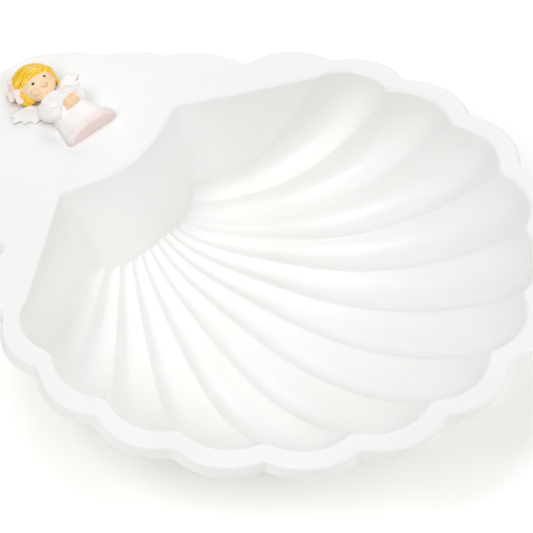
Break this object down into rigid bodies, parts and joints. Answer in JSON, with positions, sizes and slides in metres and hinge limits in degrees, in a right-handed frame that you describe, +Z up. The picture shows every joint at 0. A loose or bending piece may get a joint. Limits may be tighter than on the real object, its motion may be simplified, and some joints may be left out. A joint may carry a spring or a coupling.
{
  "type": "scallop shell baptism dish",
  "caption": "White scallop-shell dish with a deep fluted bowl, a flat scalloped rim and a hinge plate that carries a small praying angel.",
  "frame": {"origin": "under the middle of the whole dish, on the surface that it stands on", "axes": "+Z up, -Y toward the front of the fan, +Y toward the hinge plate, +X to the right seen from the front"},
  "size_m": [0.216, 0.248, 0.0592],
  "materials": {
    "dish_white": "smooth white moulded surface, soft sheen",
    "clay_white": "white modelling clay, satin",
    "clay_skin": "skin-coloured modelling clay, satin",
    "clay_yellow": "yellow modelling clay, slightly glossy",
    "clay_pink": "pale pink modelling clay, satin"
  },
  "bodies": {
    "root": {"shell_dish": "dish_white", "angel_dress": "clay_white", "angel_sleeve_left": "clay_white", "angel_sleeve_right": "clay_white", "angel_wing_left": "clay_white", "angel_wing_right": "clay_white", "angel_hands": "clay_skin", "angel_head": "clay_skin", "angel_hair": "clay_yellow", "angel_bow": "clay_pink"}
  },
  "joints": []
}
